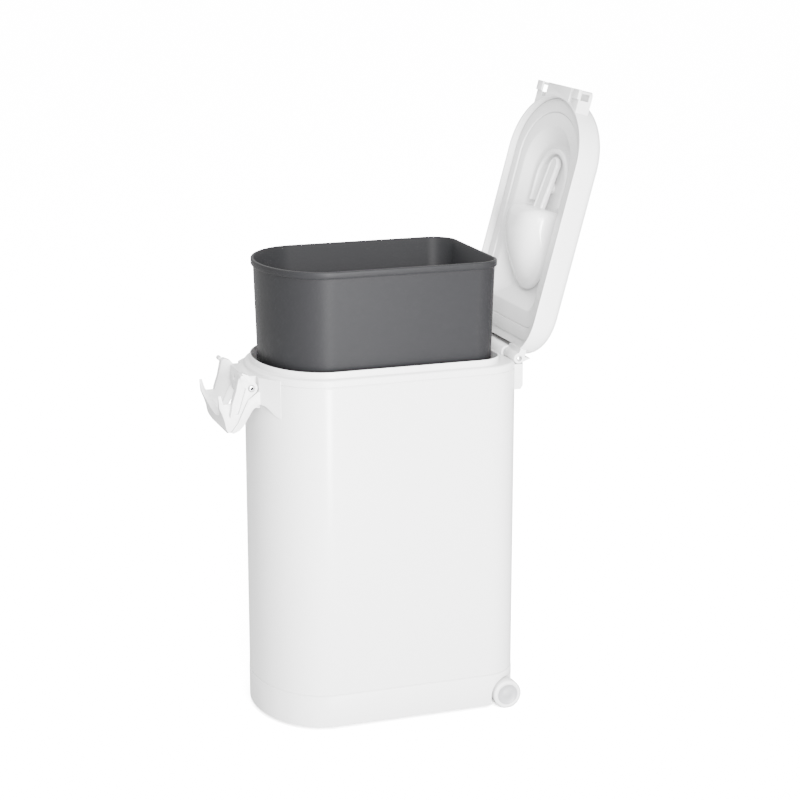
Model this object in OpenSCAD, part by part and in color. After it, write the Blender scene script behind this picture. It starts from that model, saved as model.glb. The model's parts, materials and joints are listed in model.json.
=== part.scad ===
// Slim wheeled storage bin with a lift-out inner bucket, a back-hinged lid that docks a scoop,
// and a locking handle at the front. Millimetres. +Z is up, the latch faces -Y and the hinge +Y.
// The origin is on the floor under the middle of the body. The lid is drawn open and the bucket raised.

/* [Body] */
// Width of the body across the bin
body_w = 264; // [250:1:280]
// Depth of the body from the rounded front to the flat back
body_d = 404; // [390:1:420]
// How far the rounded front runs back before the sides are straight
nose_len = 96; // [80:1:110]
// Corner radius at the back of the body
corner_r = 60; // [50:1:66]
// Height of the seam between the steel body and the rim ring
shell_top = 546; // [540:1:560]
// Thickness of the steel body sheet
sheet_t = 1; // [0.8:0.1:1.5]

/* [Base] */
// Height of the gap under the base ring
base_z = 8; // [6:1:10]
// Height of the seam between the base ring and the steel body
base_top = 58; // [56:1:64]
// Radius of the wheels
wheel_r = 23; // [21:0.5:23]
// Width of the wheels
wheel_w = 23; // [18:1:24]
// Radius of the wheel axle
axle_r = 4; // [3:0.5:5]

/* [Lid] */
// Angle the lid is open at rest
lid_open = 105.2; // [95:0.1:106]
// Height of the lid above its skirt edge
lid_h = 40; // [36:1:42]
// Radius of the edge round the lid's top
lid_fillet = 12; // [8:1:16]
// Radius of the lid's top edge at the back
lid_back_fillet = 24; // [18:1:26]
// Depth of the lid's lining above the skirt edge
insert_depth = 12; // [11:1:13]

/* [Bucket] */
// Half the width of the bucket across its rim
bucket_hw = 121.3; // [118:0.1:121.5]
// Height of the bucket
bucket_h = 450; // [430:1:452]
// How much the bucket narrows on each side towards its floor
bucket_draft = 14; // [8:1:16]
// Height of the bucket's rim when it is raised
bucket_top = 717; // [700:1:720]

/* [Scoop] */
// Half the width of the scoop's bowl at its rim
bowl_hw = 57; // [48:1:58]
// Depth of the scoop's bowl
bowl_depth = 54; // [44:1:54]
// Length of the scoop's grip ahead of the bowl
grip_l = 83; // [75:1:85]

/* [Latch] */
// Distance of the handle's arms from the middle, at their inner face
arm_in = 46; // [44:1:48]
// Thickness of each arm across the bin
arm_t = 12; // [10:1:12]
// Radius of the pivot boss on each arm
boss_r = 9.4; // [8:0.1:10]

/* [Hidden] */
$fn = 48;

// The small step by which a cut runs past a face
eps = 1;
// Clearance of a running fit, on the radius
fit = 0.05;
half_w = body_w / 2;
half_d = body_d / 2;
rim_top = shell_top + 11.5;
lip_top = rim_top + 10;
hinge_y = 199;
hinge_z = rim_top + 3.5;
seat_z = hinge_z - 3;
lid_back = 195;
lid_top = seat_z + lid_h;
insert_z = seat_z + insert_depth;
well_d = 22;
well_floor = insert_z + well_d;
scoop_z = well_floor - 0.5;
bowl_back = -27;
magnet_y = -60;
magnet_r = 8;
axle_y = 176.5;
axle_z = wheel_r;
wheel_x = 112;
floor_z = 50;
floor_t = 4;
foot_x = 66;
foot_y = -110;
foot_stem_r = 4;
arch_gap = 3.5;
arch_in = 98;
mouth_hw = 122.5;
rear_screw_x = 34;
front_screw_x = 20;
screw_z = 535;
screw_r = 2;
screw_head_r = 4;
barrel_hw = 58.5;
barrel_r = 10;
knuckle_r = 8;
knuckle_in = 60.5;
knuckle_out = 106;
pin_r = 3;
pivot_y = -212.5;
pivot_z = 536.5;
arm_out = arm_in + arm_t;
catch_hw = 79.5;

// The body's plan: an elliptical front, straight sides and two round back corners
function d_outline(hw, front, back, nose, rc) = concat(
    [for (i = [0:28]) let (a = 180 + 180 * i / 28) [hw * cos(a), front + nose + nose * sin(a)]],
    [for (i = [0:7]) let (a = 90 * i / 7) [hw - rc + rc * cos(a), back - rc + rc * sin(a)]],
    [for (i = [0:7]) let (a = 90 + 90 * i / 7) [rc - hw + rc * cos(a), back - rc + rc * sin(a)]]);
function body_plan(inset) =
    d_outline(half_w - inset, inset - half_d, half_d - inset, nose_len - inset, corner_r - inset);
function lid_plan(inset, back_inset) =
    d_outline(half_w - inset, inset - half_d, lid_back - back_inset, nose_len - inset, corner_r - inset);
function bucket_plan(inset) =
    d_outline(bucket_hw - inset, -189.2 + inset, 167.5 - inset, 89.7 - inset, 39 - inset);
function mouth_plan(inset) =
    d_outline(mouth_hw - inset, -191 + inset, 170 - inset, 91 - inset, 40 - inset);
function well_plan(inset) =
    d_outline(85 - inset, -154 + inset, 128 - inset, 66 - inset, 16 - inset);

module slab(outline, z0, z1) {
    translate([0, 0, z0]) linear_extrude(height = z1 - z0) polygon(outline);
}

// A profile drawn in Y and Z, extruded along X from x0 to x1
module along_x(x0, x1) {
    translate([x0, 0, 0]) rotate([90, 0, 90]) linear_extrude(height = x1 - x0) children();
}

// A round bar along X from x0 to x1
module bar_x(x0, x1, y, z, r) {
    translate([x0, y, z]) rotate([0, 90, 0]) cylinder(r = r, h = x1 - x0);
}

// A round bar along Y from y0 to y1
module bar_y(x, y0, y1, z, r) {
    translate([x, y0, z]) rotate([-90, 0, 0]) cylinder(r = r, h = y1 - y0);
}

// Both sides of the bin, mirrored across the middle
module both_sides() {
    children();
    mirror([1, 0, 0]) children();
}

// Turns a piece of the lid from closed to its open place
module open_lid() {
    translate([0, hinge_y, hinge_z]) rotate([-lid_open, 0, 0]) translate([0, -hinge_y, -hinge_z])
        children();
}

module bracket_screw_holes() {
    hole_r = screw_r + 0.1;
    both_sides() bar_y(rear_screw_x, 150, 230, screw_z, hole_r);
    both_sides() bar_y(front_screw_x, -215, -150, screw_z, hole_r);
    both_sides() bar_y(front_screw_x, -230, -211.9, screw_z, screw_head_r + 0.2);
}

// ---- Body ----

module body_shell() {
    color("whitesmoke") difference() {
        slab(body_plan(0.5), base_top, shell_top);
        slab(body_plan(0.5 + sheet_t), base_top - eps, shell_top + eps);
        bracket_screw_holes();
    }
}

module base_ring() {
    wall = 3;
    color("white") difference() {
        union() {
            slab(body_plan(0), base_z, base_top);
            slab(body_plan(0.6 + sheet_t), base_top - eps, base_top + 14);
        }
        difference() {
            slab(body_plan(wall), base_z - eps, floor_z - 6);
            wheel_well_walls();
        }
        slab(body_plan(9), floor_z - 7, floor_z + eps);
        slab(body_plan(5), floor_z, base_top + 15);
        both_sides() bar_x(arch_in + 2.5, 150, axle_y, axle_z, wheel_r + arch_gap);
        both_sides() translate([arch_in + 5, axle_y - wheel_r - arch_gap, base_z - eps])
            cube([50, 2 * (wheel_r + arch_gap), axle_z - base_z + eps]);
        bar_x(-110, 110, axle_y, axle_z, axle_r + 1);
    }
}

module wheel_well_walls() {
    both_sides() translate([arch_in, 140, base_z]) cube([40, 64, floor_z - base_z]);
}

module bottom_cover() {
    color("white") difference() {
        slab(body_plan(3.2), base_z + 0.5, base_z + 3.5);
        both_sides() translate([arch_in - 0.5, 139.5, 0]) cube([60, 80, 20]);
        cover_holes(2.1, 0, 20);
        both_sides() translate([foot_x, foot_y, 0]) cylinder(r = foot_stem_r, h = 20);
    }
}

module cover_holes(r, z0, z1) {
    for (x = [-70, 70], y = [-70, 90]) translate([x, y, z0]) cylinder(r = r, h = z1 - z0);
}

module bin_floor() {
    color("gainsboro") difference() {
        union() {
            slab(body_plan(5.2), floor_z, floor_z + floor_t);
            cover_holes(6, base_z + 3.6, floor_z + 1);
        }
        cover_holes(1.6, 0, floor_z - 6);
    }
}

module cover_screws() {
    color("silver") {
        cover_holes(1.6, base_z + 0.5, base_z + 26);
        cover_holes(3.4, base_z - 1.5, base_z + 0.5);
    }
}

module front_feet() {
    color("dimgray") both_sides() translate([foot_x, foot_y, 0]) {
        cylinder(r = 14, h = base_z + 0.5);
        cylinder(r = foot_stem_r, h = base_z + 3.5);
    }
}

// ---- Wheels ----

module wheel_axle() {
    color("silver") bar_x(-127, 127, axle_y, axle_z, axle_r);
}

module axle_brackets() {
    color("gainsboro") both_sides() difference() {
        translate([82, axle_y - 15, 13]) cube([15.5, 24, floor_z - 13]);
        bar_x(80, 100, axle_y, axle_z, axle_r + 0.02);
    }
}

module axle_washers() {
    color("silver") both_sides() difference() {
        bar_x(wheel_x - 2.2, wheel_x - 0.6, axle_y, axle_z, 8);
        bar_x(wheel_x - 5, wheel_x + 5, axle_y, axle_z, axle_r + fit);
    }
}

hub_r = wheel_r - 6.5;

module tyre() {
    edge = 2.5;
    translate([wheel_x, axle_y, axle_z]) rotate([0, 90, 0]) rotate_extrude($fn = 72)
        polygon(concat([[hub_r, 0]],
            [for (a = [-90:22.5:0]) [wheel_r - edge + edge * cos(a), edge + edge * sin(a)]],
            [for (a = [0:22.5:90]) [wheel_r - edge + edge * cos(a), wheel_w - edge + edge * sin(a)]],
            [[hub_r, wheel_w]]));
}

module hub() {
    dish = 2.4;
    difference() {
        translate([wheel_x, axle_y, axle_z]) rotate([0, 90, 0]) rotate_extrude($fn = 72)
            polygon(concat([[0, 0], [hub_r, 0], [hub_r, wheel_w]],
                [for (i = [1:6]) [hub_r * (1 - i / 6), wheel_w - dish * sin(15 * i)]]));
        bar_x(wheel_x - eps, wheel_x + 16, axle_y, axle_z, axle_r + fit);
    }
}

module tyre_right() { color("white") tyre(); }
module tyre_left() { color("white") mirror([1, 0, 0]) tyre(); }
module hub_right() { color("lightgray") hub(); }
module hub_left() { color("lightgray") mirror([1, 0, 0]) hub(); }

// ---- Rim and hinge ----

module rim_ring() {
    color("white") difference() {
        union() {
            slab(body_plan(0), shell_top, rim_top);
            slab(mouth_plan(-2), rim_top - eps, lip_top);
            slab(body_plan(0.6 + sheet_t), shell_top - 20, shell_top + eps);
        }
        slab(mouth_plan(0), shell_top - 30, lip_top + eps);
        slab(body_plan(4.6), shell_top - 30, shell_top - 3);
        both_sides() bar_x(knuckle_in - 1, knuckle_out + 3, hinge_y, hinge_z, knuckle_r + 1);
        bracket_screw_holes();
    }
}

module rear_bracket() {
    top = shell_top + 5.5;
    color("white") difference() {
        union() {
            intersection() {
                slab(body_plan(-12), shell_top - 34, top);
                along_x(-104, 104) polygon([[150, shell_top - 34], [half_d + 1, shell_top - 34],
                    [half_d + 13, shell_top - 16], [half_d + 13, top], [150, top]]);
            }
            bar_x(-barrel_hw, barrel_hw, hinge_y, hinge_z, barrel_r);
            translate([-barrel_hw, half_d, top - eps]) cube([2 * barrel_hw, 7, hinge_z - top]);
        }
        slab(body_plan(0), 0, rim_top);
        both_sides() bar_x(28, 70, hinge_y, hinge_z, pin_r + fit);
        bracket_screw_holes();
    }
}

module rear_bracket_screws() {
    color("silver") both_sides() {
        bar_y(rear_screw_x, 190, half_d + 12, screw_z, screw_r);
        bar_y(rear_screw_x, half_d + 12, half_d + 14, screw_z, screw_head_r);
    }
}

module hinge_pins() {
    color("silver") both_sides() {
        bar_x(30, knuckle_out + 0.6, hinge_y, hinge_z, pin_r);
        bar_x(knuckle_out + 0.5, knuckle_out + 2.5, hinge_y, hinge_z, 4.3);
    }
}

// ---- Lid ----

// How far the lid's edge has curved in at height z above the skirt, for an edge of radius r
function curve_in(z, r) = z <= lid_h - r ? 0 : r - sqrt(max(0, r * r - pow(z - lid_h + r, 2)));

module lid_block(inset, cut) {
    steps = [0, lid_h - lid_back_fillet, lid_h - 16, lid_h - 12, lid_h - 8, lid_h - 5, lid_h - 2.5,
        lid_h - 0.8, lid_h];
    hull() for (z = steps)
        slab(lid_plan(inset + curve_in(z, lid_fillet), inset + curve_in(z, lid_back_fillet)),
            seat_z + (z > 0 ? z - cut - 0.1 : z - (cut > 0 ? eps : 0)),
            seat_z + (z > 0 ? z - cut : z + 0.1));
}

module lid_shell() {
    color("white") open_lid() difference() {
        lid_block(0, 0);
        lid_block(3, 3);
        translate([-knuckle_out - 0.5, lid_back - 12, seat_z - eps])
            cube([2 * knuckle_out + 1, 20, insert_depth + 1]);
        bar_x(-barrel_hw - 1, barrel_hw + 1, hinge_y, hinge_z, barrel_r + 1);
    }
}

// The lid's lining: a deck, a well for the scoop, and a raised horseshoe round the scoop's grip
module lid_insert() {
    deck = 3;
    wall = 2;
    ridge_h = 11;
    color("white") open_lid() difference() {
        union() {
            slab(lid_plan(3.3, 3.3), insert_z, insert_z + deck);
            difference() {
                slab(well_plan(-wall), insert_z, well_floor + wall);
                slab(well_plan(0), insert_z - eps, well_floor);
            }
            difference() {
                slab(horseshoe_plan(0), well_floor - ridge_h, well_floor + eps);
                slab(horseshoe_plan(9), well_floor - ridge_h - eps, well_floor);
            }
        }
        slab(well_plan(0), insert_z - eps, insert_z + deck + eps);
        translate([-knuckle_out - 1, lid_back - 10, insert_z - eps])
            cube([2 * knuckle_out + 2, 20, deck + 2]);
        translate([0, magnet_y, insert_z]) cylinder(r = magnet_r, h = 60);
    }
}

function horseshoe_plan(inset) =
    d_outline(58 - inset, -122 + inset, -34 + inset / 2, 50 - inset, 2);

module lid_gasket() {
    color("white") open_lid() difference() {
        slab(d_outline(126, -196, 173, 93, 42), lip_top + 0.5, insert_z);
        slab(d_outline(107, -177, 154, 76, 26), lip_top, insert_z + eps);
    }
}

module lid_hinge_arms() {
    color("white") open_lid() both_sides() difference() {
        union() {
            bar_x(knuckle_in, knuckle_out, hinge_y, hinge_z, knuckle_r);
            along_x(knuckle_in, knuckle_out) polygon([[lid_back - 11, seat_z + 2],
                [lid_back - 11, insert_z - 0.2], [lid_back + 0.2, insert_z - 0.2],
                [lid_back + 0.2, seat_z + 22], [hinge_y + 7.5, hinge_z + 3],
                [hinge_y + 7.5, hinge_z - 2], [hinge_y - 7, hinge_z - 2]]);
        }
        bar_x(knuckle_in - eps, knuckle_out + eps, hinge_y, hinge_z, pin_r + fit);
    }
}

// The catch on the lid's front: a solid middle and an open pocket at each end for the handle's hook
module lid_catch() {
    front = -218;
    h = 22;
    color("white") open_lid() difference() {
        union() {
            translate([0, 0, seat_z + 0.3]) linear_extrude(height = h - 0.3) hull() for (x = [-1, 1]) {
                translate([x * (catch_hw - 8), front + 8]) circle(r = 8);
                translate([x * (catch_hw - 1), -150]) circle(r = 1);
            }
            both_sides() translate([arm_out + 1.5, front, seat_z - 2.5])
                cube([catch_hw - arm_out - 1.5, 15, 4]);
        }
        slab(lid_plan(0, 0), seat_z - 5, lid_top);
        both_sides() translate([arm_in - 2, front - eps, seat_z + 0.8])
            cube([74 - arm_in + 2, 24, h - 3.8]);
        both_sides() translate([70, front + 5, seat_z + 3]) cube([20, 11, h - 8]);
        both_sides() translate([arm_in - 2, front - eps, seat_z - 5]) cube([arm_t + 3.5, 24, 10]);
    }
}

module lid_magnet() {
    color("dimgray") open_lid() translate([0, magnet_y, well_floor])
        cylinder(r = magnet_r, h = 2);
}

// ---- Scoop ----

// The bowl's plan at a depth below its rim: flat at the back, and tapering to a round tip.
// Its sides and back round in towards the bottom, and its tip draws back along a cosine.
function bowl_plan(inset, depth) =
    let (u = depth / bowl_depth, left = pow(1 - pow(u, 3), 1 / 3),
        hw = bowl_hw * max(left, 0.25) - inset,
        back = bowl_back + 28 * (1 - left) + inset,
        tip = 5 + 98 * acos(max(0, depth - 8) / (bowl_depth - 8)) / 90 - inset)
    [for (p = d_outline(hw, -tip, -back, min(0.75 * (tip - back), 70), min(16, 0.4 * hw)))
        [p[0], -p[1]]];

module bowl_block(inset) {
    hull() for (share = [0, 0.2, 0.4, 0.6, 0.75, 0.88, 0.96, 0.995])
        slab(bowl_plan(inset, share * bowl_depth), scoop_z - share * (bowl_depth - inset),
            scoop_z - share * (bowl_depth - inset) + 0.2);
}

// The bowl's hollow faces the lid, and the grip lies ahead of it
module scoop() {
    wall = 2;
    grip_r = 12;
    grip_tip = bowl_back - grip_l + grip_r;
    color("white") open_lid() difference() {
        union() {
            bowl_block(0);
            intersection() {
                slab(concat([for (a = [180:15:360]) [grip_r * cos(a), grip_tip + grip_r * sin(a)]],
                    [[16, -12], [-16, -12]]), scoop_z - 40, scoop_z);
                along_x(-20, 20) polygon([[-120, scoop_z - 8], [-12, scoop_z - 21],
                    [-12, scoop_z - 7], [-120, scoop_z - 2.5]]);
            }
            translate([0, magnet_y, scoop_z - 12]) cylinder(r = magnet_r + 1, h = 12);
        }
        translate([-70, -140, scoop_z]) cube([140, 280, 80]);
        bowl_block(wall);
        translate([0, magnet_y, scoop_z - 3]) cylinder(r = magnet_r - 1, h = 5);
    }
}

module scoop_disc() {
    color("silver") open_lid() translate([0, magnet_y, scoop_z - 3])
        cylinder(r = magnet_r - 1, h = 2.8);
}

// ---- Latch ----

module front_bracket() {
    seam = [[-202.6, 531], [-209.8, 525.4], [-218.3, 519.2], [-226.3, 503], [-234.4, 485.1],
        [-245.5, 471.4]];
    outer = [[-242.4, 469.6], [-233.1, 473.4], [-226.7, 479.8], [-218.8, 493], [-212.4, 503.3],
        [-204.5, 510.3], [-180, 514], [-180, 532]];
    color("white") difference() {
        union() {
            // The saddle between the arms
            along_x(1 - arm_in, arm_in - 1) polygon([[-180, 500], [-206, 503], [-214, 511],
                [-219, 530], [-217, shell_top + 4], [-213, shell_top + 6], [-180, shell_top + 6]]);
            // The horns behind the arms
            both_sides() along_x(arm_in - 0.5, arm_out + 3) polygon(concat(seam, outer));
            // The cheeks that wrap round the body
            both_sides() intersection() {
                slab([[arm_in - 1.5, -201.6], [arm_out + 1, -201.6], [90, -176.8], [90, -165],
                    [arm_in - 1.5, -165]], 494, shell_top + 6);
                translate([0, -160, 0]) rotate([90, 0, 0]) linear_extrude(height = 60)
                    polygon(concat([[arm_in - 2, 560], [arm_in - 2, 518], [arm_out + 3.5, 514]],
                        [for (i = [0:9]) [63 + 3 * i, 502.5 + 8.5 * cos(20 * i)]], [[90, 560]]));
            }
        }
        slab(body_plan(0), 0, 700);
        both_sides() bar_x(24, 60, pivot_y, pivot_z, 3);
        bracket_screw_holes();
    }
}

module front_bracket_screws() {
    color("silver") both_sides() {
        bar_y(front_screw_x, -212, -197, screw_z, screw_r);
        bar_y(front_screw_x, -214, -211.9, screw_z, screw_head_r);
    }
}

module lock_handle() {
    arm = [[-231, 558], [-226, 560.5], [-217, 556.5], [-206, 543.5], [-205.4, 531.2], [-211.2, 525.4],
        [-219.3, 518.4], [-227.2, 502.4], [-235.3, 484.6], [-246.4, 470.8], [-250, 474], [-248, 484],
        [-243.5, 505], [-242, 516], [-236, 534]];
    lip = [[-264, 528], [-262.5, 510], [-258, 499], [-254.5, 488], [-252.5, 477], [-248, 467],
        [-241, 461], [-239.5, 464], [-241.5, 467.8], [-247, 469.6], [-246.6, 471.4], [-243, 480],
        [-244.5, 488], [-248, 497], [-252, 505], [-257, 516], [-260, 528.5]];
    channel = [[-221, 537], [-226, 521], [-230, 507], [-233.5, 497.5], [-238, 499], [-237, 509],
        [-231.5, 527], [-228, 540]];
    bow_r = 182;
    web = [[-258, 513], [-241, 513], [-243, 482], [-252, 486]];
    color("white") difference() {
        union() {
            both_sides() {
                along_x(arm_in, arm_out) polygon(arm);
                bar_x(arm_in, arm_out, pivot_y, pivot_z, boss_r);
                along_x(arm_in, arm_in + 4) polygon(web);
                bar_x(arm_out - eps, arm_out + 14, pivot_y - 17, pivot_z + 20.5, 3.5);
            }
            difference() {
                intersection() {
                    along_x(-arm_out, arm_out) polygon(lip);
                    bar_y(0, -300, -200, 461.5 + bow_r, bow_r);
                }
                bar_y(0, -300, -200, 546, 60);
            }
        }
        both_sides() bar_x(arm_in - eps, arm_out + eps, pivot_y, pivot_z, 3 + fit);
        both_sides() along_x(arm_out - 3.5, arm_out + eps) polygon(channel);
    }
}

module handle_screws() {
    color("silver") both_sides() {
        bar_x(28, arm_out + 0.6, pivot_y, pivot_z, 3);
        bar_x(arm_out + 0.5, arm_out + 3, pivot_y, pivot_z, 5.5);
    }
}

// ---- Bucket ----

module bucket() {
    wall = 2;
    rim = 3;
    base = bucket_top - bucket_h;
    color("dimgray") difference() {
        union() {
            hull() {
                slab(bucket_plan(rim), bucket_top - 1, bucket_top);
                slab(bucket_plan(rim + bucket_draft), base, base + 1);
            }
            slab(bucket_plan(0), bucket_top - 10, bucket_top);
        }
        hull() {
            slab(bucket_plan(rim + wall), bucket_top, bucket_top + eps);
            slab(bucket_plan(rim + wall + bucket_draft), base + wall, base + wall + 1);
        }
    }
}

body_shell();
base_ring();
bottom_cover();
bin_floor();
front_feet();
cover_screws();
wheel_axle();
axle_brackets();
axle_washers();
tyre_left();
tyre_right();
hub_left();
hub_right();
rim_ring();
rear_bracket();
rear_bracket_screws();
hinge_pins();
lid_shell();
lid_insert();
lid_gasket();
lid_hinge_arms();
lid_catch();
lid_magnet();
scoop();
scoop_disc();
front_bracket();
front_bracket_screws();
lock_handle();
handle_screws();
bucket();
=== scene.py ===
import json
import math
import bmesh
import bpy
from mathutils import Matrix, Vector


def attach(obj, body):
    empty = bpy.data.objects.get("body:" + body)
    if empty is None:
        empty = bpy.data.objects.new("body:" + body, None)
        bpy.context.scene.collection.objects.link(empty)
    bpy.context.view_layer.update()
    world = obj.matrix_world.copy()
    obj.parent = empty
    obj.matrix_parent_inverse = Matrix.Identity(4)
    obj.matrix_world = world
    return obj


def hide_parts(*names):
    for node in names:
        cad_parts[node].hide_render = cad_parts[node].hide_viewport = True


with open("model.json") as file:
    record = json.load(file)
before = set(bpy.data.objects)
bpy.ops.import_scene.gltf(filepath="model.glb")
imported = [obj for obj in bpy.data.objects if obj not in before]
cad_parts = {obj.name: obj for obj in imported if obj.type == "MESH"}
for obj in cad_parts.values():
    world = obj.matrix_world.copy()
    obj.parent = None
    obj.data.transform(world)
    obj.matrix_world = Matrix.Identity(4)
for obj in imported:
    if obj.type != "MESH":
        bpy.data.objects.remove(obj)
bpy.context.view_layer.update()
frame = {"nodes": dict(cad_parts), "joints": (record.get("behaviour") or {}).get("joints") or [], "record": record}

# ---- Camera ----
# It stands to the right of the bin and a little above the rim, with a long lens.

camera_data = bpy.data.cameras.new("camera")
camera_data.lens = 93.53
camera_data.sensor_width = 36
camera = bpy.data.objects.new("camera", camera_data)
bpy.context.scene.collection.objects.link(camera)
camera_target = Vector((0, 0.04296, 0.48289))
camera_azimuth = math.radians(70.585)
camera_elevation = math.radians(14.406)
camera_distance = 3.2514
camera_way = Vector((math.cos(camera_elevation) * math.sin(camera_azimuth),
                     -math.cos(camera_elevation) * math.cos(camera_azimuth),
                     math.sin(camera_elevation)))
camera.location = camera_target + camera_distance * camera_way
camera.rotation_euler = (-camera_way).to_track_quat("-Z", "Y").to_euler()
bpy.context.scene.camera = camera

# ---- Studio ----
# A white sweep of floor that runs out of sight, a white surround that is brightest overhead, and
# soft lamps. The floor shows brighter than it lights the bin, as an overexposed backdrop does.

floor_mesh = bpy.data.meshes.new("studio_floor")
bm = bmesh.new()
bmesh.ops.create_grid(bm, x_segments=1, y_segments=1, size=90)
bm.to_mesh(floor_mesh)
bm.free()
studio_floor = bpy.data.objects.new("studio_floor", floor_mesh)
bpy.context.scene.collection.objects.link(studio_floor)

floor_paper = bpy.data.materials.new("floor_paper")
floor_paper.use_nodes = True
floor_tree = floor_paper.node_tree
floor_tree.nodes.clear()
seen_tone, lighting_tone = 5.4, 0.48
ray_kind = floor_tree.nodes.new("ShaderNodeLightPath")
tone = floor_tree.nodes.new("ShaderNodeMapRange")
tone.inputs["To Min"].default_value = lighting_tone
tone.inputs["To Max"].default_value = seen_tone
paper = floor_tree.nodes.new("ShaderNodeBsdfDiffuse")
paper_out = floor_tree.nodes.new("ShaderNodeOutputMaterial")
floor_tree.links.new(ray_kind.outputs["Is Camera Ray"], tone.inputs["Value"])
floor_tree.links.new(tone.outputs["Result"], paper.inputs["Color"])
floor_tree.links.new(paper.outputs["BSDF"], paper_out.inputs["Surface"])
floor_mesh.materials.append(floor_paper)

surround = bpy.data.worlds.new("surround")
surround.use_nodes = True
sky_tree = surround.node_tree
sky_way = sky_tree.nodes.new("ShaderNodeTexCoord")
sky_height = sky_tree.nodes.new("ShaderNodeSeparateXYZ")
sky_level = sky_tree.nodes.new("ShaderNodeMapRange")
sky_level.inputs["From Min"].default_value = 0.0
sky_level.inputs["From Max"].default_value = 1.0
sky_level.inputs["To Min"].default_value = 0.7
sky_level.inputs["To Max"].default_value = 4.0
sky_tree.links.new(sky_way.outputs["Generated"], sky_height.inputs["Vector"])
sky_tree.links.new(sky_height.outputs["Z"], sky_level.inputs["Value"])
sky_tree.links.new(sky_level.outputs["Result"], sky_tree.nodes["Background"].inputs["Strength"])
sky_tree.nodes["Background"].inputs["Color"].default_value = (1, 1, 1, 1)
bpy.context.scene.world = surround


def soft_lamp(name, place, aim, size, power):
    lamp_data = bpy.data.lights.new(name, "AREA")
    lamp_data.shape = "RECTANGLE"
    lamp_data.size, lamp_data.size_y = size
    lamp_data.energy = power
    lamp = bpy.data.objects.new(name, lamp_data)
    bpy.context.scene.collection.objects.link(lamp)
    lamp.location = place
    lamp.rotation_euler = (Vector(aim) - lamp.location).to_track_quat("-Z", "Y").to_euler()


soft_lamp("side_lamp", (2.4, -0.5, 1.7), (0, 0, 0.45), (1.4, 1.4), 210)
soft_lamp("strip_lamp", (1.5, -0.02, 0.35), (0, -0.1, 0.35), (0.26, 1.3), 110)

# ---- Base ring ----
# The skirt round the foot of the bin. It is one injection moulding in white ABS, notched at the back
# for the wheels, and the steel body stands in the step along its top edge.


def moulded_grain_group():
    """The fine eroded texture of a moulding tool, with slow changes in tone and gloss."""
    tree = bpy.data.node_groups.new("moulded_grain", "ShaderNodeTree")
    for name, kind, default in (("Tone", "NodeSocketColor", (0.8, 0.8, 0.8, 1)),
                                ("Grain Scale", "NodeSocketFloat", 900.0),
                                ("Grain Depth", "NodeSocketFloat", 0.4),
                                ("Gloss Roughness", "NodeSocketFloat", 0.4),
                                ("Unevenness", "NodeSocketFloat", 0.06)):
        tree.interface.new_socket(name, in_out="INPUT", socket_type=kind).default_value = default
    for name, kind in (("Color", "NodeSocketColor"), ("Roughness", "NodeSocketFloat"),
                       ("Height", "NodeSocketFloat")):
        tree.interface.new_socket(name, in_out="OUTPUT", socket_type=kind)
    nodes, links = tree.nodes, tree.links
    entry = nodes.new("NodeGroupInput")
    result = nodes.new("NodeGroupOutput")
    place = nodes.new("ShaderNodeTexCoord")

    grain = nodes.new("ShaderNodeTexNoise")
    grain.inputs["Detail"].default_value = 3.0
    height = nodes.new("ShaderNodeMath")
    height.operation = "MULTIPLY"
    links.new(place.outputs["Object"], grain.inputs["Vector"])
    links.new(entry.outputs["Grain Scale"], grain.inputs["Scale"])
    links.new(grain.outputs["Fac"], height.inputs[0])
    links.new(entry.outputs["Grain Depth"], height.inputs[1])
    links.new(height.outputs[0], result.inputs["Height"])

    cloud = nodes.new("ShaderNodeTexNoise")
    cloud.inputs["Scale"].default_value = 8.0
    cloud.inputs["Detail"].default_value = 4.0
    centred = nodes.new("ShaderNodeMath")
    centred.operation = "SUBTRACT"
    centred.inputs[1].default_value = 0.5
    change = nodes.new("ShaderNodeMath")
    change.operation = "MULTIPLY"
    links.new(place.outputs["Object"], cloud.inputs["Vector"])
    links.new(cloud.outputs["Fac"], centred.inputs[0])
    links.new(centred.outputs[0], change.inputs[0])
    links.new(entry.outputs["Unevenness"], change.inputs[1])
    rough = nodes.new("ShaderNodeMath")
    rough.operation = "ADD"
    links.new(entry.outputs["Gloss Roughness"], rough.inputs[0])
    links.new(change.outputs[0], rough.inputs[1])
    links.new(rough.outputs[0], result.inputs["Roughness"])

    bright = nodes.new("ShaderNodeMath")
    bright.operation = "MULTIPLY_ADD"
    bright.inputs[1].default_value = 0.3
    bright.inputs[2].default_value = 1.0
    tint = nodes.new("ShaderNodeVectorMath")
    tint.operation = "SCALE"
    links.new(change.outputs[0], bright.inputs[0])
    links.new(entry.outputs["Tone"], tint.inputs[0])
    links.new(bright.outputs[0], tint.inputs["Scale"])
    links.new(tint.outputs[0], result.inputs["Color"])
    return tree


moulded_grain = moulded_grain_group()


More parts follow.
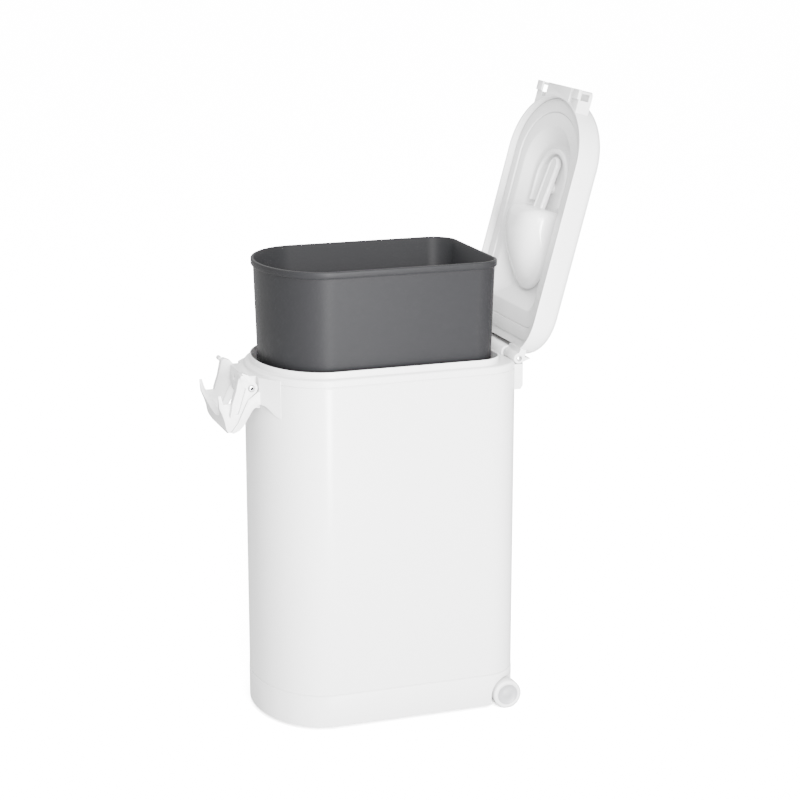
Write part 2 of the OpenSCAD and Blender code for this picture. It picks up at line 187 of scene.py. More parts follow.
def surface_finish(name, tone, roughness, grain_scale, grain_depth, unevenness=0.06, metallic=0.0,
                   specular=0.5, bump_height=0.0002):
    """A finish whose colour, gloss and relief come from the grain of its moulding tool or sheet."""
    finish = bpy.data.materials.new(name)
    finish.use_nodes = True
    nodes, links = finish.node_tree.nodes, finish.node_tree.links
    shader = nodes["Principled BSDF"]
    grain = nodes.new("ShaderNodeGroup")
    grain.node_tree = moulded_grain
    grain.inputs["Tone"].default_value = (*tone, 1)
    grain.inputs["Grain Scale"].default_value = grain_scale
    grain.inputs["Grain Depth"].default_value = grain_depth
    grain.inputs["Gloss Roughness"].default_value = roughness
    grain.inputs["Unevenness"].default_value = unevenness
    bump = nodes.new("ShaderNodeBump")
    bump.inputs["Strength"].default_value = 0.5
    bump.inputs["Distance"].default_value = bump_height
    links.new(grain.outputs["Color"], shader.inputs["Base Color"])
    links.new(grain.outputs["Roughness"], shader.inputs["Roughness"])
    links.new(grain.outputs["Height"], bump.inputs["Height"])
    links.new(bump.outputs["Normal"], shader.inputs["Normal"])
    shader.inputs["Metallic"].default_value = metallic
    shader.inputs["Specular IOR Level"].default_value = specular
    return finish


node_body = {node: body for body, nodes in frame["record"]["behaviour"]["bodies"].items()
             for node in nodes}


def solid(name, bm):
    """A new object in the scene from a finished bmesh, with its normals turned outwards."""
    bmesh.ops.remove_doubles(bm, verts=bm.verts, dist=1e-6)
    bmesh.ops.recalc_face_normals(bm, faces=bm.faces)
    mesh = bpy.data.meshes.new(name)
    bm.to_mesh(mesh)
    bm.free()
    piece = bpy.data.objects.new(name, mesh)
    bpy.context.scene.collection.objects.link(piece)
    return piece


def stand_for(node, piece, finish, edge_radius=0.0, edge_angle=32):
    """Gives a piece its finish and rounded edges, and puts it in the place of its CAD node."""
    piece.data.materials.clear()
    piece.data.materials.append(finish)
    piece.data.shade_smooth()
    if edge_radius:
        rounding = piece.modifiers.new("rounding", "BEVEL")
        rounding.width = edge_radius
        rounding.segments = 3
        rounding.limit_method = "ANGLE"
        rounding.angle_limit = math.radians(edge_angle)
        rounding.harden_normals = True
    else:
        piece.data.set_sharp_from_angle(angle=math.radians(edge_angle))
    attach(piece, node_body[node])
    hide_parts(node)


def moulded_copy(node, finish, edge_radius, edge_angle=32):
    """A merged copy of a CAD node's shape with its hard edges rounded."""
    bm = bmesh.new()
    bm.from_mesh(frame["nodes"][node].data)
    bmesh.ops.remove_doubles(bm, verts=bm.verts, dist=1e-6)
    bmesh.ops.dissolve_limit(bm, angle_limit=math.radians(0.6), verts=bm.verts, edges=bm.edges)
    piece = solid(node + "_moulding", bm)
    stand_for(node, piece, finish, edge_radius, edge_angle)
    return piece


white_abs = surface_finish("white_abs", (0.62, 0.62, 0.62), 0.34, 1500.0, 0.5)
moulded_copy("base_ring", white_abs, 0.0009)

# ---- Bottom cover and floor ----
# A thin white plate closes the base from below, and a grey polypropylene floor lies across the base
# ring above it. Four bosses under the floor take the cover's screws.

floor_grey = surface_finish("floor_grey", (0.42, 0.42, 0.43), 0.5, 1200.0, 0.6)
moulded_copy("bottom_cover", white_abs, 0.0005)
moulded_copy("bin_floor", floor_grey, 0.0006)

# ---- Cover screws ----
# Four plated self-tapping screws with a hexagon socket in a domed head. They are driven up through
# the bottom cover.


def socket_screw(bm, place, turn, head_radius, head_height, shank_radius, shank_length):
    """Adds a screw whose shank points along +Z from place, before turn is applied about place."""
    before = set(bm.verts)
    rings = []
    for radius, height, sides in ((shank_radius * 0.55, shank_length, 24),
                                  (shank_radius, shank_length - shank_radius, 24),
                                  (shank_radius, 0, 24), (head_radius, 0, 24),
                                  (head_radius, -head_height * 0.45, 24),
                                  (head_radius * 0.82, -head_height * 0.86, 24),
                                  (head_radius * 0.62, -head_height, 24),
                                  (head_radius * 0.5, -head_height, 6),
                                  (head_radius * 0.5, -head_height * 0.35, 6)):
        found = set(bm.verts)
        bmesh.ops.create_circle(bm, segments=sides, radius=radius)
        ring = [vert for vert in bm.verts if vert not in found]
        bmesh.ops.translate(bm, vec=(0, 0, height), verts=ring)
        rings.append(list({edge for vert in ring for edge in vert.link_edges}))
    for lower, upper in zip(rings, rings[1:]):
        bmesh.ops.bridge_loops(bm, edges=lower + upper)
    for end in (rings[0], rings[-1]):
        bmesh.ops.contextual_create(bm, geom=end)
    screw = [vert for vert in bm.verts if vert not in before]
    bmesh.ops.rotate(bm, cent=(0, 0, 0), matrix=turn, verts=screw)
    bmesh.ops.translate(bm, vec=place, verts=screw)


zinc_plate = surface_finish("zinc_plate", (0.62, 0.62, 0.63), 0.3, 900.0, 0.4, metallic=1.0)
cover_screw_x, cover_screw_y, cover_underside = 0.070, (-0.070, 0.090), 0.0085
bm = bmesh.new()
for x in (-cover_screw_x, cover_screw_x):
    for y in cover_screw_y:
        socket_screw(bm, (x, y, cover_underside), Matrix.Identity(3), 0.0034, 0.0015, 0.0016, 0.0255)
stand_for("cover_screws", solid("cover_screw_set", bm), zinc_plate)

# ---- Front feet ----
# Two grey rubber buttons under the front of the bin. Each is pressed into the bottom cover by its
# stem, and has a chamfered sole that grips the floor.


def turned(bm, profile, centre, axis, steps=64):
    """Spins a chain of (distance along the axis, radius) points all the way round the axis."""
    centre, axis = Vector(centre), Vector(axis)
    outward = axis.orthogonal().normalized()
    chain = [bm.verts.new(centre + along * axis + radius * outward) for along, radius in profile]
    edges = [bm.edges.new(pair) for pair in zip(chain, chain[1:])]
    bmesh.ops.spin(bm, geom=chain + edges, cent=centre, axis=axis, angle=math.tau, steps=steps,
                   use_merge=True)


foot_rubber = surface_finish("foot_rubber", (0.10, 0.10, 0.10), 0.65, 1600.0, 0.7)
foot_x, foot_y = 0.066, -0.110
bm = bmesh.new()
for x in (-foot_x, foot_x):
    turned(bm, ((0, 0), (0, 0.0122), (0.0010, 0.0136), (0.0022, 0.0140), (0.0085, 0.0140),
                (0.0085, 0.0040), (0.0115, 0.0036), (0.0115, 0)), (x, foot_y, 0), (0, 0, 1), 40)
stand_for("front_feet", solid("front_foot_pair", bm), foot_rubber)

# ---- Wheel axle, brackets and washers ----
# A plated steel rod runs across the back of the base in two moulded brackets. A thin washer keeps
# each wheel off the base ring.

axle_y, axle_z, axle_radius, axle_half = 0.1765, 0.023, 0.004, 0.127
bm = bmesh.new()
turned(bm, ((-axle_half, 0), (-axle_half, 0.0034), (-axle_half + 0.0006, axle_radius),
            (axle_half - 0.0006, axle_radius), (axle_half, 0.0034), (axle_half, 0)),
       (0, axle_y, axle_z), (1, 0, 0), 32)
stand_for("wheel_axle", solid("wheel_axle_rod", bm), zinc_plate)
moulded_copy("axle_brackets", floor_grey, 0.0008)
bm = bmesh.new()
for side in (-1, 1):
    turned(bm, ((0.1098, 0.00405), (0.1098, 0.0079), (0.1099, 0.0080), (0.1113, 0.0080),
                (0.1114, 0.0079), (0.1114, 0.00405), (0.1098, 0.00405)),
           (0, axle_y, axle_z), (side, 0, 0), 40)
stand_for("axle_washers", solid("axle_washer_pair", bm), zinc_plate)

# ---- Wheels ----
# Each wheel is a grey nylon hub with a softer white tyre moulded over it. The outer face of the hub is
# dished, with a raised boss in the middle.

tyre_white = surface_finish("tyre_white", (0.58, 0.58, 0.58), 0.5, 1600.0, 0.6)
hub_grey = surface_finish("hub_grey", (0.30, 0.30, 0.31), 0.4, 1300.0, 0.5)
wheel_in, wheel_width, wheel_radius, hub_radius, tyre_edge = 0.112, 0.023, 0.023, 0.0165, 0.004
wheel_out = wheel_in + wheel_width
for name, side in (("left", -1), ("right", 1)):
    shoulder = [(tyre_edge * (1 - math.cos(math.radians(a))), tyre_edge * (1 - math.sin(math.radians(a))))
                for a in range(0, 91, 15)]
    tyre_profile = [(wheel_in, hub_radius)]
    tyre_profile += [(wheel_in + along, wheel_radius - drop) for along, drop in shoulder]
    tyre_profile += [(wheel_out - along, wheel_radius - drop) for along, drop in reversed(shoulder)]
    tyre_profile += [(wheel_out - 0.0004, hub_radius + 0.0012), (wheel_out - 0.0010, hub_radius),
                     (wheel_in, hub_radius)]
    bm = bmesh.new()
    turned(bm, tyre_profile, (0, axle_y, axle_z), (side, 0, 0), 72)
    stand_for("tyre_" + name, solid("tyre_band_" + name, bm), tyre_white)
    bm = bmesh.new()
    turned(bm, ((wheel_in, 0.00405), (wheel_in, hub_radius), (wheel_out - 0.0014, hub_radius),
                (wheel_out - 0.0010, hub_radius - 0.0006), (wheel_out - 0.0016, hub_radius - 0.0016),
                (wheel_out - 0.0030, 0.0125), (wheel_out - 0.0034, 0.0090),
                (wheel_out - 0.0030, 0.0062), (wheel_out - 0.0024, 0.0052), (wheel_out - 0.0024, 0),
                ), (0, axle_y, axle_z), (side, 0, 0), 72)
    turned(bm, ((wheel_in, 0.00405), (wheel_in + 0.016, 0.00405), (wheel_in + 0.016, 0)),
           (0, axle_y, axle_z), (side, 0, 0), 72)
    stand_for("hub_" + name, solid("hub_disc_" + name, bm), hub_grey)

# ---- Steel body ----
# One sheet of 1 mm steel, rolled to a round front with straight sides and two round back corners, and
# joined by a lap down the middle of the back. It is powder coated a glossy white.

nose_steps, corner_steps = 48, 10
half_width, half_depth, body_nose, body_corner = 0.132, 0.202, 0.096, 0.060


def plan_ring(side, front, back, nose, corner, height):
    """A closed ring in the bin's plan: an elliptical front, straight sides and two round corners."""
    ring = bmesh.new()
    start = ring.verts.new((side, 0, 0))
    bmesh.ops.spin(ring, geom=[start], cent=(0, 0, 0), axis=(0, 0, 1), angle=-math.pi, steps=nose_steps)
    bmesh.ops.scale(ring, vec=(1, nose / side, 1), verts=ring.verts)
    bmesh.ops.translate(ring, vec=(0, front + nose, height), verts=ring.verts)
    ends = [vert for vert in ring.verts if len(vert.link_edges) == 1]
    corners = bmesh.ops.extrude_vert_indiv(ring, verts=ends)["verts"]
    for vert in corners:
        vert.co.y = back
    bmesh.ops.contextual_create(ring, geom=corners)
    bmesh.ops.bevel(ring, geom=corners, offset=corner, offset_type="OFFSET", segments=corner_steps,
                    profile=0.5, affect="VERTICES", material=-1)
    return ring


def body_ring(inset, height):
    return plan_ring(half_width - inset, inset - half_depth, half_depth - inset, body_nose - inset,
                     body_corner - inset, height)


def skin(bm, rings, closed=False):
    """Joins each ring to the next. A closed skin comes back to its first ring; others get end caps."""
    places = [[vert.co.copy() for vert in ring.verts] for ring in rings]
    first_ring = bpy.data.meshes.new("ring")
    rings[0].to_mesh(first_ring)
    for ring in rings:
        ring.free()
    earlier = set(bm.verts) | set(bm.edges)
    bm.from_mesh(first_ring)
    bpy.data.meshes.remove(first_ring)
    verts = [vert for vert in bm.verts if vert not in earlier]
    loops = [[edge for edge in bm.edges if edge not in earlier]]
    for place in places[1:] + (places[:1] if closed else []):
        made = bmesh.ops.extrude_edge_only(bm, edges=loops[-1])["geom"]
        fresh = {item for item in made if isinstance(item, bmesh.types.BMVert)}
        verts = [next(edge.other_vert(vert) for edge in vert.link_edges if edge.other_vert(vert) in fresh)
                 for vert in verts]
        for vert, spot in zip(verts, place):
            vert.co = spot
        loops.append([edge for edge in made if isinstance(edge, bmesh.types.BMEdge)
                      and edge.verts[0] in fresh and edge.verts[1] in fresh])
    if not closed:
        bmesh.ops.contextual_create(bm, geom=loops[0])
        bmesh.ops.contextual_create(bm, geom=loops[-1])
    return loops


powder_coat = surface_finish("powder_coat", (0.62, 0.62, 0.62), 0.22, 260.0, 0.25, bump_height=0.0004)
sheet, body_inset, body_foot, body_head = 0.001, 0.0005, 0.0588, 0.5452
bm = bmesh.new()
skin(bm, (body_ring(body_inset + 0.0009, body_foot), body_ring(body_inset + 0.0007, body_foot + 0.0006),
          body_ring(body_inset, body_foot + 0.0014), body_ring(body_inset, body_head - 0.0014),
          body_ring(body_inset + 0.0007, body_head - 0.0006), body_ring(body_inset + 0.0009, body_head),
          body_ring(body_inset + sheet, body_head), body_ring(body_inset + sheet, body_foot)), True)
stand_for("body_shell", solid("steel_body", bm), powder_coat)

# ---- Rim ring ----
# A white moulding that caps the steel body. It has a rounded outer edge, a raised lip round the mouth
# that the lid's seal closes on, and a skirt that plugs into the body.


mouth_half, mouth_front, mouth_back, mouth_nose, mouth_corner = 0.1225, 0.191, 0.170, 0.091, 0.040


def mouth_ring(inset, height):
    return plan_ring(mouth_half - inset, inset - mouth_front, mouth_back - inset, mouth_nose - inset,
                     mouth_corner - inset, height)


def rounded_step(inset, height, radius, low=0, high=90, steps=5):
    """(inset, height) pairs round a convex edge that starts at inset, height and curves inwards."""
    return [(inset + radius * (1 - math.cos(math.radians(angle))),
             height + radius * math.sin(math.radians(angle)))
            for angle in (low + (high - low) * step / steps for step in range(steps + 1))]


def carve(piece, tool, operation="DIFFERENCE"):
    """Cuts the tool's shape out of a piece, or fuses it on, and uses the tool up."""
    step = piece.modifiers.new("carve", "BOOLEAN")
    step.operation = operation
    step.solver = "EXACT"
    step.object = tool
    bpy.context.view_layer.update()
    shaped = bpy.data.meshes.new_from_object(
        piece.evaluated_get(bpy.context.evaluated_depsgraph_get()))
    piece.modifiers.clear()
    piece.data = shaped
    bpy.data.objects.remove(tool)


rim_foot, rim_shoulder, lip_height = 0.546, 0.5575, 0.5675
bm = bmesh.new()
rim_rings = [body_ring(0.0016, rim_foot - 0.020), body_ring(0.0016, rim_foot), body_ring(0.0008, rim_foot)]
rim_rings += [body_ring(*step) for step in rounded_step(0.0, rim_foot + 0.0006, 0.0001, steps=1)]
rim_rings += [body_ring(*step) for step in rounded_step(0.0, rim_shoulder - 0.0040, 0.0040)]
rim_rings += [mouth_ring(-0.0028, rim_shoulder), mouth_ring(-0.0020, rim_shoulder + 0.0008)]
rim_rings += [mouth_ring(inset - 0.0020, height)
              for inset, height in rounded_step(0.0, lip_height - 0.0009, 0.0009, steps=3)]
rim_rings += [mouth_ring(-0.0006, lip_height), mouth_ring(0.0, lip_height - 0.0006),
              mouth_ring(0.0, rim_foot - 0.003), body_ring(0.0046, rim_foot - 0.003),
              body_ring(0.0046, rim_foot - 0.020)]
skin(bm, rim_rings, True)
rim = solid("rim_moulding", bm)
hinge_y, hinge_z = 0.199, 0.561
for side in (-1, 1):
    bm = bmesh.new()
    turned(bm, ((0.0595, 0), (0.0595, 0.009), (0.109, 0.009), (0.109, 0)),
           (0, hinge_y, hinge_z), (side, 0, 0), 40)
    carve(rim, solid("knuckle_pocket", bm))
stand_for("rim_ring", rim, white_abs, edge_angle=40)

# ---- Rear bracket ----
# The body's half of the hinge: a white moulding screwed to the back of the rim and the steel body,
# with a long barrel between the lid's knuckles. Two plated screws hold it.

moulded_copy("rear_bracket", white_abs, 0.0013)
bracket_screw_x, bracket_screw_z, bracket_face = 0.034, 0.535, 0.214
bm = bmesh.new()
for x in (-bracket_screw_x, bracket_screw_x):
    socket_screw(bm, (x, bracket_face, bracket_screw_z), Matrix.Rotation(math.radians(90), 3, "X"),
                 0.004, 0.002, 0.002, 0.024)
stand_for("rear_bracket_screws", solid("rear_bracket_screw_pair", bm), zinc_plate)

# ---- Lid shell ----
# The lid's outer moulding in white ABS: a deep rounded cap with a wall 3 mm thick. Its skirt is notched
# at the back to clear the hinge. It is shaped closed and then turned open about the hinge.

lid_joint = next(joint for joint in frame["joints"] if joint["name"] == "lid_hinge")
lid_open = Matrix.Rotation(-math.radians(lid_joint["range_deg"][1]), 3, "X")


def opened(bm):
    """Turns a piece of the lid from closed to its open place."""
    bmesh.ops.rotate(bm, cent=(0, hinge_y, hinge_z), matrix=lid_open, verts=bm.verts)
    return bm


def open_piece(piece):
    """Turns a carved piece of the lid from closed to its open place."""
    bm = bmesh.new()
    bm.from_mesh(piece.data)
    opened(bm).to_mesh(piece.data)
    bm.free()


lid_seat, lid_height, lid_back, lid_wall = 0.558, 0.040, 0.195, 0.003
side_fillet, back_fillet = 0.012, 0.024


def lid_ring(inset, height, back_inset=None):
    back = lid_back - (inset if back_inset is None else back_inset)
    return plan_ring(half_width - inset, inset - half_depth, back, body_nose - inset,
                     body_corner - inset, height)


def curved_in(rise, radius):
    """How far the lid's edge has curved in at a rise above the skirt."""
    drop = rise - lid_height + radius
    return 0 if drop <= 0 else radius - math.sqrt(max(0, radius ** 2 - drop ** 2))


lid_rises = [lid_height - back_fillet * (1 - math.sin(math.radians(angle))) for angle in range(0, 31, 6)]
lid_rises += [lid_height - side_fillet * (1 - math.sin(math.radians(angle))) for angle in range(0, 91, 9)]
lid_rises = sorted(set(round(rise, 5) for rise in lid_rises))


def lid_face(inset, drop):
    return [lid_ring(inset + curved_in(rise, side_fillet), lid_seat + rise - drop,
                     inset + curved_in(rise, back_fillet)) for rise in lid_rises]


def drop_caps_below(bm, height):
    """Opens a skin again where its end cap lies below a height."""
    caps = [face for face in bm.faces if len(face.verts) > 4 and face.calc_center_median().z < height]
    bmesh.ops.delete(bm, geom=caps, context="FACES_ONLY")


bm = bmesh.new()
skirt_edge = rounded_step(0.0, 0.0, 0.0009, steps=3)
outer_face = [lid_ring(inset, lid_seat + 0.0009 - rise) for inset, rise in reversed(skirt_edge)]
outer_face += lid_face(0.0, 0.0)
inner_face = [lid_ring(lid_wall, lid_seat + 0.0006)] + lid_face(lid_wall, lid_wall)
outer_loops = skin(bm, outer_face[:])
drop_caps_below(bm, lid_seat + 0.001)
inner_loops = skin(bm, inner_face[:])
drop_caps_below(bm, lid_seat + 0.001)
bmesh.ops.bridge_loops(bm, edges=outer_loops[0] + inner_loops[0])
lid = solid("lid_cap", bm)
knuckle_out, barrel_half = 0.1065, 0.0595
notch = bmesh.new()
bmesh.ops.create_cube(notch, size=1)
bmesh.ops.scale(notch, vec=(2 * knuckle_out, 0.024, 0.016), verts=notch.verts)
bmesh.ops.translate(notch, vec=(0, lid_back, lid_seat + 0.005), verts=notch.verts)
carve(lid, solid("hinge_notch", notch))
bm = bmesh.new()
turned(bm, ((-barrel_half, 0), (-barrel_half, 0.011), (barrel_half, 0.011), (barrel_half, 0)),
       (0, hinge_y, hinge_z), (1, 0, 0), 40)
carve(lid, solid("barrel_clearance", bm))
open_piece(lid)
stand_for("lid_shell", lid, white_abs, edge_angle=38)

# ---- Lid insert ----
# The lid's lining in white ABS, snapped into the cap. It has a groove that the seal sits in, a well
# with sloped walls for the scoop, and a raised horseshoe that cradles the scoop's grip.

insert_z, insert_deck, well_depth = 0.570, 0.003, 0.022


well_half, well_front, well_back, well_nose, well_corner = 0.085, -0.154, 0.128, 0.066, 0.016
side_run, front_run, nose_run, corner_run = 0.022, 0.026, 0.016, 0.004


def well_ring(inset, height, slope=0.0):
    """The well's plan. slope is 0 at its mouth and 1 at its floor."""
    return plan_ring(well_half - inset - side_run * slope, well_front + inset + front_run * slope,
                     well_back - inset - side_run * slope, well_nose - inset - nose_run * slope,
                     well_corner - inset - corner_run * slope, height)


seal_half, seal_front, seal_back, seal_nose, seal_corner = 0.107, -0.177, 0.154, 0.076, 0.026


def seal_ring(inset, height):
    """The plan of the seal's inner edge, or a ring inside it."""
    return plan_ring(seal_half - inset, seal_front + inset, seal_back - inset, seal_nose - inset,
                     seal_corner - inset, height)


lining = surface_finish("lining", (0.64, 0.64, 0.64), 0.30, 1500.0, 0.4)
bm = bmesh.new()
well_floor = insert_z + well_depth
insert_rings = [lid_ring(0.0033, insert_z + insert_deck), lid_ring(0.0033, insert_z + 0.0006),
                lid_ring(0.0039, insert_z), seal_ring(0.0002, insert_z), seal_ring(0.0004, insert_z + 0.0015),
                seal_ring(0.0014, insert_z + 0.0015), seal_ring(0.0016, insert_z),
                well_ring(-0.0022, insert_z), well_ring(-0.0008, insert_z + 0.0005),
                well_ring(0.0, insert_z + 0.0018, 0.05),
                well_ring(0.0, well_floor - 0.0030, 0.88), well_ring(0.0010, well_floor - 0.0008, 0.97),
                well_ring(0.0028, well_floor, 1.0)]
skin(bm, insert_rings)
drop_caps_below(bm, insert_z + 0.004)
skin(bm, [lid_ring(0.0033, insert_z + insert_deck), well_ring(-0.0026, insert_z + insert_deck),
          well_ring(-0.0026, well_floor, 0.9), well_ring(-0.0010, well_floor + 0.002, 1.0)])
drop_caps_below(bm, insert_z + 0.004)
insert = solid("lid_lining", bm)
knuckle_gap = bmesh.new()
bmesh.ops.create_cube(knuckle_gap, size=1)
bmesh.ops.scale(knuckle_gap, vec=(2 * knuckle_out + 0.001, 0.020, 0.010), verts=knuckle_gap.verts)
bmesh.ops.translate(knuckle_gap, vec=(0, lid_back, insert_z + 0.002), verts=knuckle_gap.verts)
carve(insert, solid("knuckle_gap", knuckle_gap))


cradle_half, cradle_front, cradle_back, cradle_nose, cradle_corner = 0.058, -0.122, -0.034, 0.050, 0.002


def horseshoe_ring(inset, height):
    return plan_ring(cradle_half - inset, cradle_front + inset, cradle_back + 0.5 * inset,
                     cradle_nose - inset, cradle_corner, height)


ridge_height, ridge_width, ridge_round = 0.011, 0.009, 0.003
bm = bmesh.new()
skin(bm, [horseshoe_ring(0.0, well_floor + 0.001)]
     + [horseshoe_ring(inset, 2 * (well_floor - ridge_height) + ridge_round - height)
        for inset, height in rounded_step(0.0, well_floor - ridge_height, ridge_round, steps=4)])
ridge = solid("grip_cradle", bm)
bm = bmesh.new()
skin(bm, [horseshoe_ring(ridge_width - 0.001, well_floor + 0.002),
          horseshoe_ring(ridge_width, well_floor - ridge_height + 0.003),
          horseshoe_ring(ridge_width - 0.001, well_floor - ridge_height + 0.001),
          horseshoe_ring(ridge_width - 0.003, well_floor - ridge_height - 0.001)])
carve(ridge, solid("cradle_hollow", bm))
carve(insert, ridge, "UNION")
magnet_y, magnet_radius = -0.060, 0.008
bm = bmesh.new()
turned(bm, ((-0.004, 0), (-0.004, magnet_radius), (0.001, magnet_radius), (0.001, 0)),
       (0, magnet_y, well_floor), (0, 0, 1), 48)
carve(insert, solid("magnet_hole", bm))
open_piece(insert)
stand_for("lid_insert", insert, lining, edge_angle=35)


def finish_node(node, finish):
    """Gives a CAD node that stays visible its finish."""
    node_mesh = frame["nodes"][node].data
    node_mesh.materials.clear()
    node_mesh.materials.append(finish)


magnet_ferrite = surface_finish("magnet_ferrite", (0.16, 0.16, 0.17), 0.45, 1500.0, 0.8, metallic=0.6)
finish_node("lid_magnet", magnet_ferrite)

# ---- Lid seal ----
# A soft white silicone band with rounded edges, pushed into the groove of the lining. It closes on the
# lip of the rim ring.

seal_rubber = surface_finish("seal_rubber", (0.58, 0.58, 0.58), 0.5, 1800.0, 0.5)
seal_low, seal_high = 0.568, 0.570
band_half, band_front, band_back, band_nose, band_corner = 0.126, -0.196, 0.173, 0.093, 0.042


def seal_outer_ring(inset, height):
    return plan_ring(band_half - inset, band_front + inset, band_back - inset, band_nose - inset,
                     band_corner - inset, height)


bm = bmesh.new()
skin(bm, (seal_outer_ring(0.0, seal_high), seal_outer_ring(0.0, seal_low + 0.0012),
          seal_outer_ring(0.0004, seal_low + 0.0004), seal_outer_ring(0.0014, seal_low),
          seal_ring(-0.0014, seal_low), seal_ring(-0.0004, seal_low + 0.0004),
          seal_ring(0.0, seal_low + 0.0012), seal_ring(0.0, seal_high)), True)
stand_for("lid_gasket", solid("lid_seal", opened(bm)), seal_rubber)

# ---- Hinge arms and pins ----
# Two white arms carry the lid on round knuckles. Each turns on a plated steel pin that is pressed into
# the bracket's barrel and has a domed head at its outer end.

moulded_copy("lid_hinge_arms", white_abs, 0.0011)
pin_radius, pin_in, pin_head = 0.003, 0.030, 0.1065
bm = bmesh.new()
for side in (-1, 1):
    turned(bm, ((pin_in, 0), (pin_in, 0.0025), (pin_in + 0.0006, pin_radius), (pin_head, pin_radius),
                (pin_head, 0.0042), (pin_head + 0.0010, 0.0043), (pin_head + 0.0017, 0.0034),
                (pin_head + 0.0020, 0.0018), (pin_head + 0.0020, 0)),
           (0, hinge_y, hinge_z), (side, 0, 0), 40)
stand_for("hinge_pins", solid("hinge_pin_pair", bm), zinc_plate)

# ---- Lid catch ----
# A white moulding on the lid's front edge. Its middle is solid, and a pocket at each end takes one hook
# of the lock handle.

moulded_copy("lid_catch", white_abs, 0.0016)

# ---- Scoop ----
# A glossy white scoop moulded in one piece: a round-backed bowl that tapers to its tip, and a tapered
# grip with a sunken panel. It hangs by a steel disc on the magnet in the lid.

scoop_gloss = surface_finish("scoop_gloss", (0.64, 0.64, 0.64), 0.14, 500.0, 0.2)
scoop_rim, bowl_half, bowl_depth, bowl_wall = 0.5915, 0.057, 0.054, 0.002
bowl_back, bowl_tip = -0.027, 0.103


def bowl_ring(inset, share, drop=0.0):
    """The bowl's plan at a share of its depth: flat at the back, with a round tip towards +Y."""
    depth = share * bowl_depth
    left = (1 - share ** 3) ** (1 / 3)
    half = bowl_half * max(left, 0.25) - inset
    back = bowl_back + 0.028 * (1 - left) + inset
    reach = math.acos(max(0.0, depth - 0.008) / (bowl_depth - 0.008)) / (math.pi / 2)
    tip = 0.005 + (bowl_tip - 0.005) * reach - inset
    ring = plan_ring(half, -tip, -back, min(0.75 * (tip - back), 0.070), min(0.016, 0.4 * half),
                     scoop_rim - share * (bowl_depth - inset) - drop)
    bmesh.ops.scale(ring, vec=(1, -1, 1), verts=ring.verts)
    return ring


shares = [math.sin(math.radians(angle)) * 0.995 for angle in range(0, 91, 5)]
bm = bmesh.new()
skin(bm, [bowl_ring(0.0, share) for share in reversed(shares[1:])]
     + [bowl_ring(0.0, 0, 0.0007), bowl_ring(0.0006, 0), bowl_ring(bowl_wall - 0.0006, 0),
        bowl_ring(bowl_wall, 0, 0.0007)]
     + [bowl_ring(bowl_wall, share) for share in shares[1:]])
bowl = solid("scoop_moulding", bm)

grip_half, grip_front, grip_back, grip_thick = 0.0150, -0.110, -0.010, 0.0092
grip_low, grip_tilt = 0.5705, math.radians(6.4)


def grip_ring(inset, height):
    return plan_ring(grip_half - inset, grip_front + inset, grip_back - inset, grip_half - inset,
                     0.002, height)


bm = bmesh.new()
skin(bm, [grip_ring(0.0058, grip_low + 0.0014), grip_ring(0.0044, grip_low + 0.0002)]
     + [grip_ring(inset, 2 * grip_low + 0.0035 - height)
        for inset, height in reversed(rounded_step(0.0, grip_low, 0.0035))]
     + [grip_ring(0.0, grip_low + grip_thick - 0.003), grip_ring(0.0008, grip_low + grip_thick - 0.001),
        grip_ring(0.003, grip_low + grip_thick)])
bmesh.ops.rotate(bm, cent=(0, grip_back, grip_low), matrix=Matrix.Rotation(-grip_tilt, 3, "X"),
                 verts=bm.verts)
carve(bowl, solid("scoop_grip", bm), "UNION")
bm = bmesh.new()
post_radius, disc_seat = magnet_radius + 0.001, magnet_radius - 0.001
turned(bm, ((-0.012, 0), (-0.012, post_radius), (0, post_radius), (0, disc_seat), (-0.003, disc_seat),
            (-0.003, 0)), (0, magnet_y, scoop_rim), (0, 0, 1), 48)
carve(bowl, solid("disc_post", bm), "UNION")
open_piece(bowl)
stand_for("scoop", bowl, scoop_gloss, edge_angle=40)
finish_node("scoop_disc", zinc_plate)

# ---- Front bracket ----
# The body's half of the latch: a white saddle screwed to the front of the rim, with a horn behind each
# arm of the handle and a cheek that wraps round the body.

moulded_copy("front_bracket", white_abs, 0.0018)
front_screw_x, front_screw_face = 0.020, -0.2120
bm = bmesh.new()
for x in (-front_screw_x, front_screw_x):
    socket_screw(bm, (x, front_screw_face, bracket_screw_z), Matrix.Rotation(math.radians(-90), 3, "X"),
                 0.004, 0.002, 0.002, 0.015)
stand_for("front_bracket_screws", solid("front_bracket_screw_pair", bm), zinc_plate)

# ---- Lock handle ----
# A white lever with two arms and a broad curved lip across the front. It turns on a shoulder screw
# through each arm, and its hooks pull the lid's catch down.

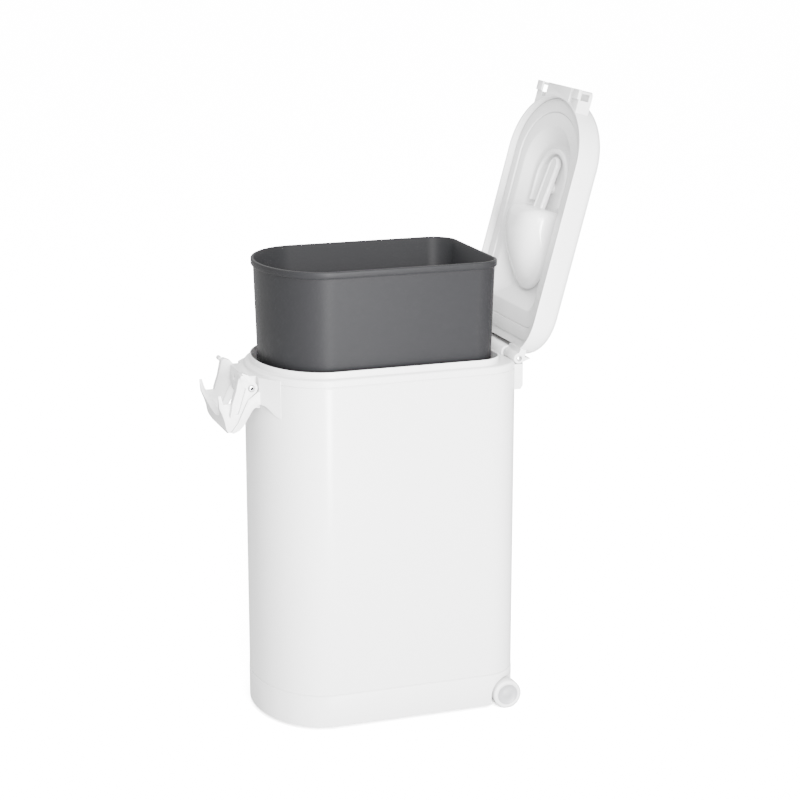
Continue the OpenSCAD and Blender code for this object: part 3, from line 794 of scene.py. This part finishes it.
moulded_copy("lock_handle", white_abs, 0.0018)
pivot_y, pivot_z, arm_face = -0.2125, 0.5365, 0.0585
bm = bmesh.new()
for side in (-1, 1):
    socket_screw(bm, (side * arm_face, pivot_y, pivot_z), Matrix.Rotation(math.radians(-90 * side), 3, "Y"),
                 0.0055, 0.0025, 0.003, 0.0305)
stand_for("handle_screws", solid("handle_screw_pair", bm), zinc_plate)

# ---- Bucket ----
# The lift-out inner bucket, moulded in dark grey polypropylene with a fine matt texture. It narrows
# towards its floor, and a rounded rim stands out all the way round.

bucket_grey = surface_finish("bucket_grey", (0.012, 0.012, 0.013), 0.46, 1100.0, 0.9, specular=0.11)
bucket_top, bucket_height, bucket_draft, rim_out, bucket_wall = 0.717, 0.450, 0.014, 0.003, 0.002


bucket_half, bucket_front, bucket_back, bucket_nose, bucket_corner = 0.1213, 0.1892, 0.1675, 0.0897, 0.039


def bucket_ring(inset, height, taper=0.0):
    inset += bucket_draft * taper
    return plan_ring(bucket_half - inset, inset - bucket_front, bucket_back - inset, bucket_nose - inset,
                     bucket_corner - inset, height)


bucket_base = bucket_top - bucket_height
bm = bmesh.new()
skin(bm, [bucket_ring(rim_out + 0.008, bucket_base, 1),
          bucket_ring(rim_out + 0.0035, bucket_base + 0.0012, 1),
          bucket_ring(rim_out + 0.0008, bucket_base + 0.004, 1),
          bucket_ring(rim_out, bucket_base + 0.008, 0.985), bucket_ring(rim_out, bucket_top - 0.0125, 0.03),
          bucket_ring(rim_out - 0.0004, bucket_top - 0.0106, 0.02),
          bucket_ring(0.0008, bucket_top - 0.0100), bucket_ring(0.0, bucket_top - 0.0090)]
     + [bucket_ring(*step) for step in rounded_step(0.0, bucket_top - 0.0020, 0.0020)]
     + [bucket_ring(rim_out + 0.0008, bucket_top), bucket_ring(rim_out + bucket_wall, bucket_top - 0.0012),
        bucket_ring(rim_out + bucket_wall, bucket_base + 0.009, 0.98),
        bucket_ring(rim_out + bucket_wall + 0.0022, bucket_base + 0.004, 1),
        bucket_ring(rim_out + bucket_wall + 0.008, bucket_base + bucket_wall, 1)])
stand_for("bucket", solid("inner_bucket", bm), bucket_grey, edge_angle=50)
